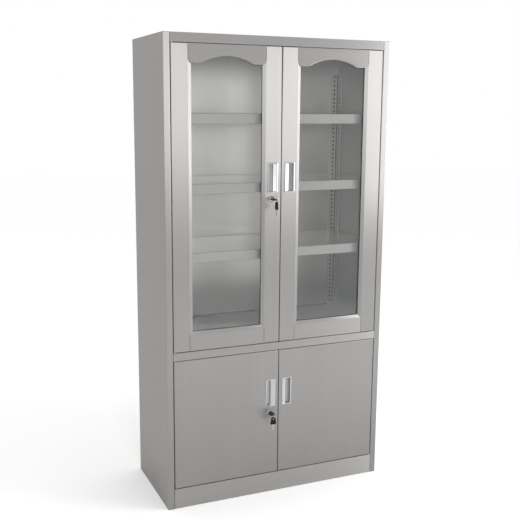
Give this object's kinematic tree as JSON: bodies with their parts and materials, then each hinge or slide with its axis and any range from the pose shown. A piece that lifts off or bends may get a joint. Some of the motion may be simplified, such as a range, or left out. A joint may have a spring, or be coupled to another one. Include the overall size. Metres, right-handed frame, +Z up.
{
  "type": "glass door medical cabinet",
  "caption": "Brushed stainless steel medical cabinet with arched glass doors above, plain doors below, recessed pulls, locks and keys.",
  "frame": {"origin": "on the floor, in the middle of the plinth's foot flange, under the front of the cabinet", "axes": "+Z up, front of the cabinet towards -Y, +X to the right seen from the front"},
  "size_m": [0.9, 0.4463, 1.75],
  "materials": {
    "brushed_steel_panels": "brushed, vertical grain",
    "inner_steel": "satin sheet",
    "chrome_fittings": "bright plate",
    "zinc_hardware": "zinc plate",
    "clear_glass": "clear float glass",
    "black_rubber": "matt extruded channel",
    "black_plastic": "moulded, fine texture"
  },
  "bodies": {
    "carcass": {"left_side_panel": "brushed_steel_panels", "right_side_panel": "brushed_steel_panels", "top_panel": "brushed_steel_panels", "middle_deck": "brushed_steel_panels", "bottom_panel": "brushed_steel_panels", "plinth": "brushed_steel_panels", "back_panel": "inner_steel", "upper_shelf_1": "inner_steel", "upper_shelf_2": "inner_steel", "upper_shelf_3": "inner_steel", "lower_shelf": "inner_steel", "left_front_upright": "inner_steel", "left_rear_upright": "inner_steel", "left_shelf_hanger_1": "inner_steel", "left_shelf_hanger_2": "inner_steel", "left_shelf_hanger_3": "inner_steel", "left_top_hinge_pin": "zinc_hardware", "left_middle_hinge_pin": "zinc_hardware", "left_bottom_hinge_pin": "zinc_hardware", "right_front_upright": "inner_steel", "right_rear_upright": "inner_steel", "right_shelf_hanger_1": "inner_steel", "right_shelf_hanger_2": "inner_steel", "right_shelf_hanger_3": "inner_steel", "right_top_hinge_pin": "zinc_hardware", "right_middle_hinge_pin": "zinc_hardware", "right_bottom_hinge_pin": "zinc_hardware", "upper_magnetic_catch": "black_plastic", "lower_magnetic_catch": "black_plastic"},
    "upper_left_door": {"upper_left_hinge_stile": "brushed_steel_panels", "upper_left_meeting_stile": "brushed_steel_panels", "upper_left_bottom_rail": "brushed_steel_panels", "upper_left_arch_rail": "brushed_steel_panels", "upper_left_gasket": "black_rubber", "upper_left_glass": "clear_glass", "upper_left_handle": "chrome_fittings", "upper_lock_barrel": "chrome_fittings"},
    "upper_right_door": {"upper_right_hinge_stile": "brushed_steel_panels", "upper_right_meeting_stile": "brushed_steel_panels", "upper_right_bottom_rail": "brushed_steel_panels", "upper_right_arch_rail": "brushed_steel_panels", "upper_right_gasket": "black_rubber", "upper_right_glass": "clear_glass", "upper_right_handle": "chrome_fittings"},
    "upper_lock_core": {"upper_lock_plug": "chrome_fittings", "upper_lock_cam": "zinc_hardware"},
    "upper_lock_key": {"upper_key": "black_plastic"},
    "upper_spare_bunch": {"upper_key_ring": "chrome_fittings", "upper_spare_key": "black_plastic"},
    "lower_left_door": {"lower_left_door_pan": "brushed_steel_panels", "lower_left_handle": "chrome_fittings", "lower_lock_barrel": "chrome_fittings"},
    "lower_right_door": {"lower_right_door_pan": "brushed_steel_panels", "lower_right_handle": "chrome_fittings"},
    "lower_lock_core": {"lower_lock_plug": "chrome_fittings", "lower_lock_cam": "zinc_hardware"},
    "lower_lock_key": {"lower_key": "black_plastic"},
    "lower_spare_bunch": {"lower_key_ring": "chrome_fittings", "lower_spare_key": "black_plastic"}
  },
  "joints": [
    {"name": "upper_left_door_hinge", "type": "hinge", "parent": "carcass", "child": "upper_left_door", "pos_m": [-0.4175, -0.0075, 1.164], "axis": [0, 0, -1], "range_deg": [0, 110]},
    {"name": "upper_right_door_hinge", "type": "hinge", "parent": "carcass", "child": "upper_right_door", "pos_m": [0.4175, -0.0075, 1.164], "axis": [0, 0, 1], "range_deg": [0, 110]},
    {"name": "upper_lock_turn", "type": "hinge", "parent": "upper_left_door", "child": "upper_lock_core", "pos_m": [-0.037, -0.0185, 1.1645], "axis": [0, -1, 0], "range_deg": [0, 90]},
    {"name": "upper_key_withdraw", "type": "slide", "parent": "upper_lock_core", "child": "upper_lock_key", "axis": [0, -1, 0], "range_m": [0, 0.03]},
    {"name": "upper_spare_key_swing", "type": "hinge", "parent": "upper_lock_key", "child": "upper_spare_bunch", "pos_m": [-0.037, -0.0425, 1.1645], "axis": [1, 0, 0], "range_deg": [-20, 20]},
    {"name": "lower_left_door_hinge", "type": "hinge", "parent": "carcass", "child": "lower_left_door", "pos_m": [-0.4175, -0.0075, 0.3295], "axis": [0, 0, -1], "range_deg": [0, 110]},
    {"name": "lower_right_door_hinge", "type": "hinge", "parent": "carcass", "child": "lower_right_door", "pos_m": [0.4175, -0.0075, 0.3295], "axis": [0, 0, 1], "range_deg": [0, 110]},
    {"name": "lower_lock_turn", "type": "hinge", "parent": "lower_left_door", "child": "lower_lock_core", "pos_m": [-0.037, -0.0185, 0.331], "axis": [0, -1, 0], "range_deg": [0, 90]},
    {"name": "lower_key_withdraw", "type": "slide", "parent": "lower_lock_core", "child": "lower_lock_key", "axis": [0, -1, 0], "range_m": [0, 0.03]},
    {"name": "lower_spare_key_swing", "type": "hinge", "parent": "lower_lock_key", "child": "lower_spare_bunch", "pos_m": [-0.037, -0.0425, 0.331], "axis": [0, 1, 0], "range_deg": [-20, 20]}
  ]
}
